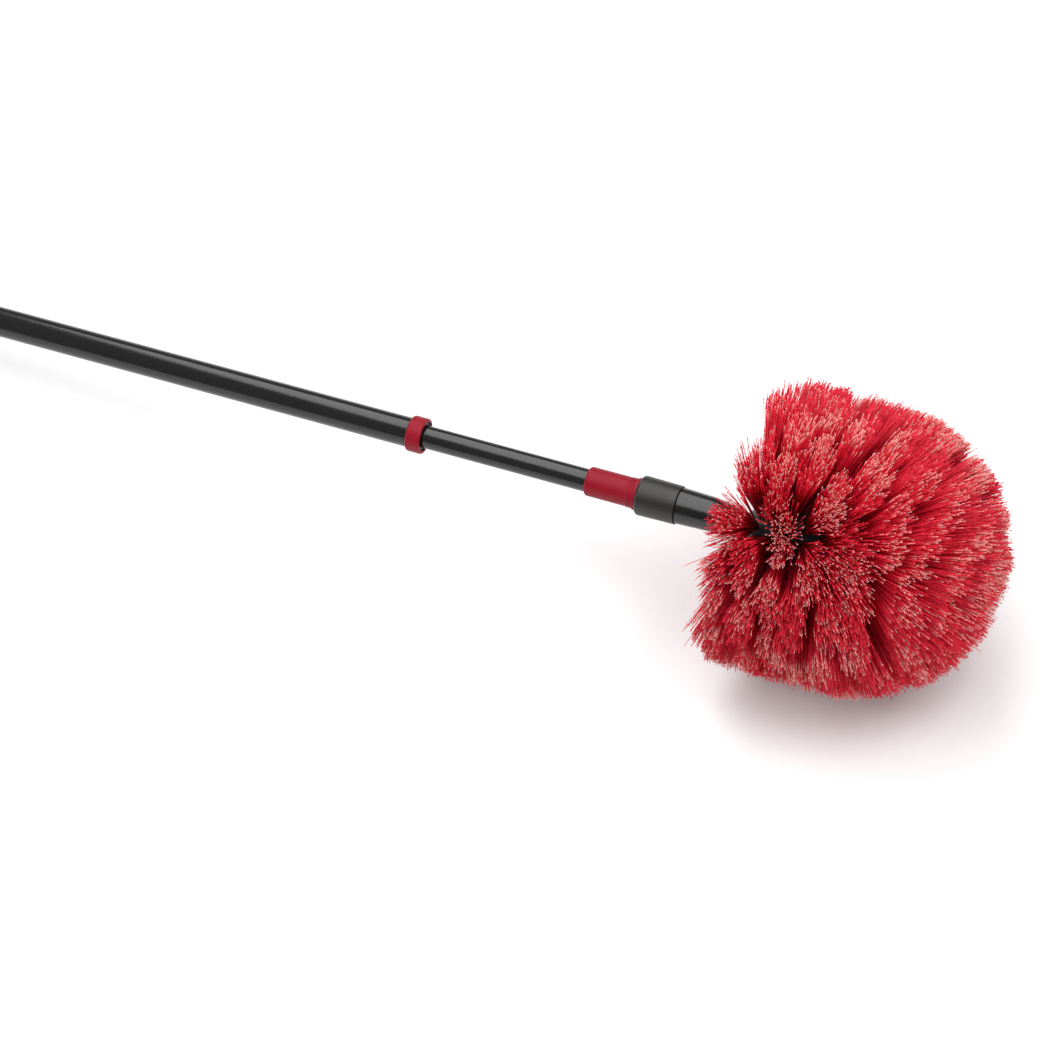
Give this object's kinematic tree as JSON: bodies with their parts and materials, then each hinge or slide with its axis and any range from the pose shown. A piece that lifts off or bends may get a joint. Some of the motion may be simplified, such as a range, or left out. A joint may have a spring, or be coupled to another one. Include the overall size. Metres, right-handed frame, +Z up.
{
  "type": "cobweb brush",
  "caption": "Cobweb brush: a ball of bristles on a screw-on head, on a twist-lock telescopic pole with a swivelling hanging eye.",
  "frame": {"origin": "on the floor under the centre of the brush's box as it lies, with the back bristles and the end cap on the floor", "axes": "+X from the hanging eye towards the bristles, level along the floor; +Z up; the pole leans up towards the bristles by about 5 degrees"},
  "size_m": [1.2749, 0.212, 0.218],
  "materials": {
    "pole_paint": "gloss black enamel on steel tube",
    "red_plastic": "satin crimson moulded plastic",
    "cap_plastic": "fine satin black moulded plastic",
    "collar_plastic": "matt dark grey-brown moulded plastic",
    "neck_gloss": "gloss black moulded plastic",
    "core_plastic": "matt black moulded plastic",
    "bristle": "satin crimson filament with split pale tips",
    "steel": "zinc plated steel",
    "lock_plastic": "natural white acetal"
  },
  "bodies": {
    "outer_pole": {"outer_tube": "pole_paint", "mouth_ring": "red_plastic", "guide_bush": "cap_plastic", "end_cap": "cap_plastic"},
    "hanger": {"hang_eye": "cap_plastic", "eye_clip": "steel"},
    "lock_slide": {"slide_bush": "lock_plastic"},
    "inner_pole": {"inner_tube": "pole_paint", "lock_plug": "lock_plastic", "cam_washer": "steel", "lock_screw": "steel", "adaptor": "red_plastic"},
    "lock_cam": {"cam_ring": "lock_plastic"},
    "brush_head": {"retaining_ring": "steel", "neck": "neck_gloss", "core_hub": "core_plastic", "core_screw": "steel", "tuft_anchors": "steel", "bristle_row_1": "bristle", "bristle_row_2": "bristle", "bristle_row_3": "bristle", "bristle_row_4": "bristle", "bristle_row_5": "bristle", "bristle_row_6": "bristle", "bristle_dome_1": "bristle", "bristle_dome_2": "bristle", "bristle_dome_3": "bristle", "bristle_tip": "bristle"},
    "collar": {"collar_nut": "collar_plastic"}
  },
  "joints": [
    {"name": "hanger_swivel", "type": "hinge", "parent": "outer_pole", "child": "hanger", "pos_m": [-0.62846, 0, 0.01076], "axis": [0.9962, 0, 0.0871], "continuous": true},
    {"name": "pole_slide", "type": "slide", "parent": "outer_pole", "child": "lock_slide", "axis": [0.9962, 0, 0.0871], "range_m": [-0.1277, 0.57]},
    {"name": "pole_twist", "type": "hinge", "parent": "lock_slide", "child": "inner_pole", "pos_m": [-0.42384, 0, 0.02864], "axis": [0.9962, 0, 0.0871], "range_deg": [0, 60]},
    {"name": "lock_cam_turn", "type": "hinge", "parent": "inner_pole", "child": "lock_cam", "pos_m": [-0.43085, 0, 0.02732], "axis": [0.9962, 0, 0.0871], "range_deg": [-60, 0]},
    {"name": "head_draw", "type": "slide", "parent": "inner_pole", "child": "brush_head", "axis": [0.9962, 0, 0.0871], "range_m": [0, 0.012]},
    {"name": "collar_turn", "type": "hinge", "parent": "brush_head", "child": "collar", "pos_m": [0.38, 0, 0.0989], "axis": [0.9962, 0, 0.0871], "range_deg": [0, 1080]}
  ],
  "couplings": [
    {"joint": "lock_cam_turn", "follows": "pole_twist", "ratio": -1},
    {"joint": "collar_turn", "follows": "head_draw", "rad_per_m": 1570.8}
  ]
}
